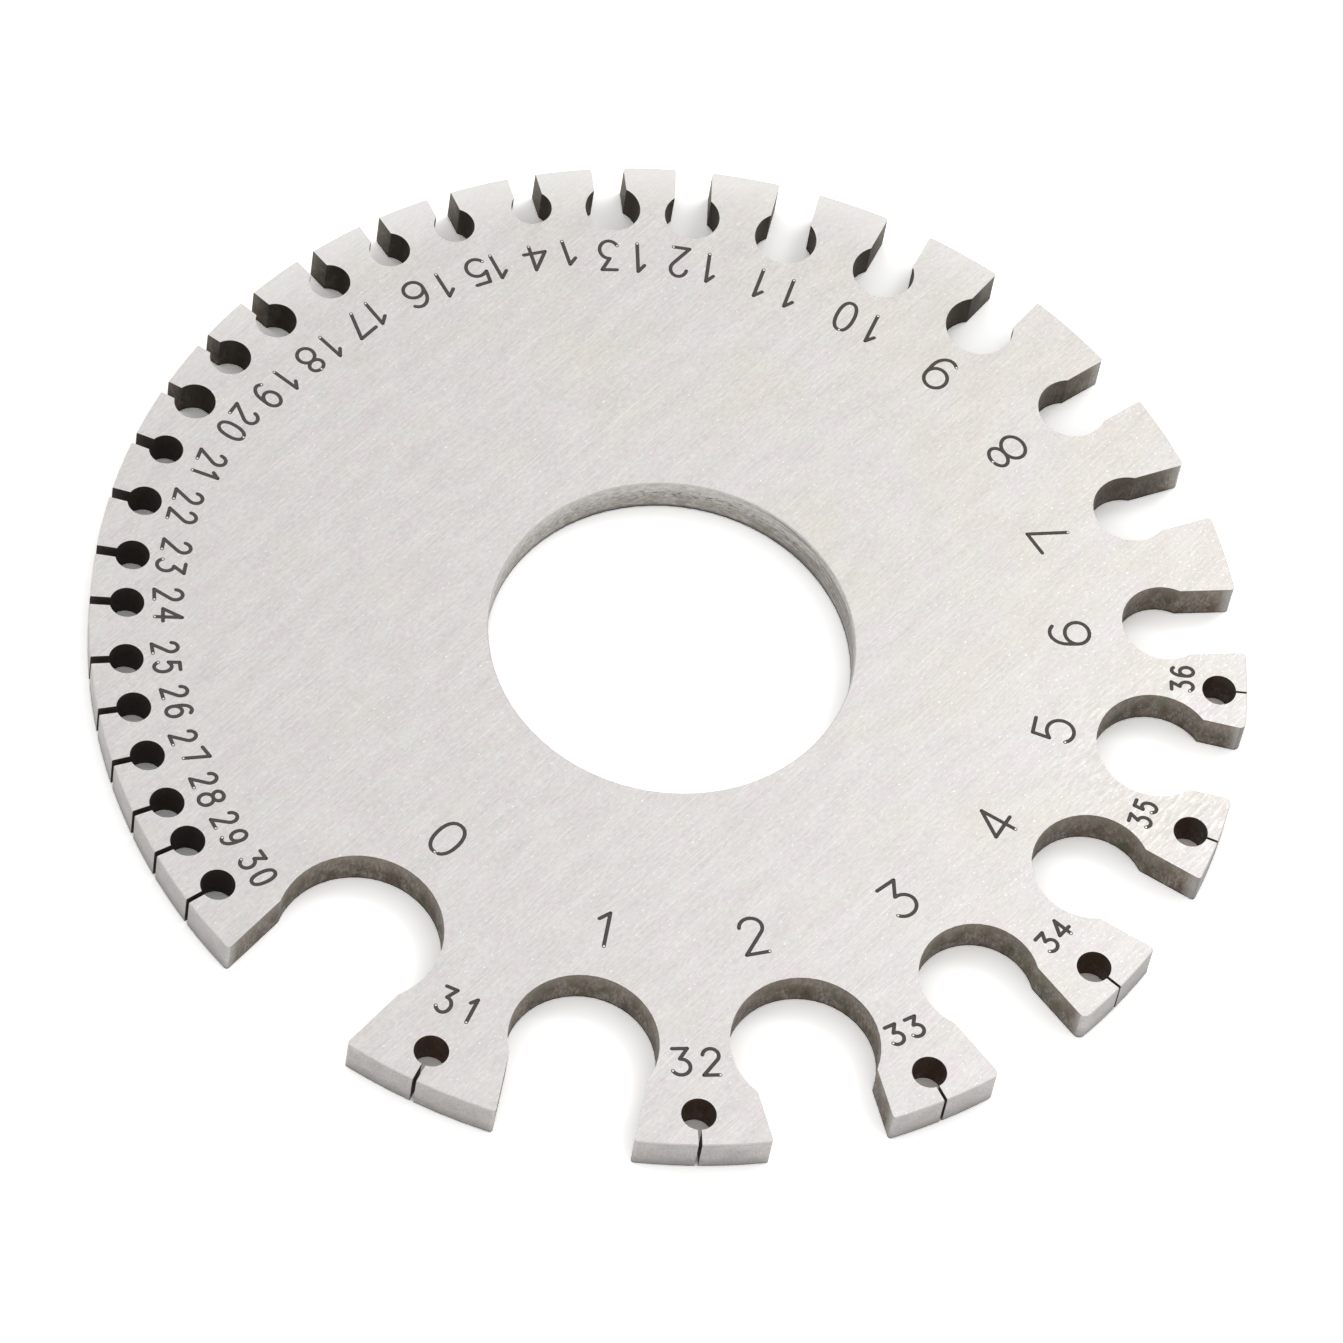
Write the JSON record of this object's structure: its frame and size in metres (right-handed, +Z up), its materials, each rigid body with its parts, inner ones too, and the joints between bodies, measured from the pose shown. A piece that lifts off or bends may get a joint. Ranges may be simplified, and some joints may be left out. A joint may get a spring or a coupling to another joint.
{
  "type": "wire gauge",
  "caption": "Round flat steel plate with a central bore and keyhole notches round its rim, each as wide as one size of wire, with its number beside it.",
  "frame": {"origin": "the bore's axis at the underside of the plate, on which it rests", "axes": "+Z up along the bore's axis, out of the numbered face; -Y out through the notch of gauge 1; numbers rise counterclockwise seen from +Z"},
  "size_m": [0.0629, 0.0628, 0.0022],
  "materials": {
    "plate_steel": "fine straight brushing on both faces, ground rim, wire-cut notch walls"
  },
  "bodies": {
    "root": {"gauge_plate": "plate_steel"}
  },
  "joints": []
}
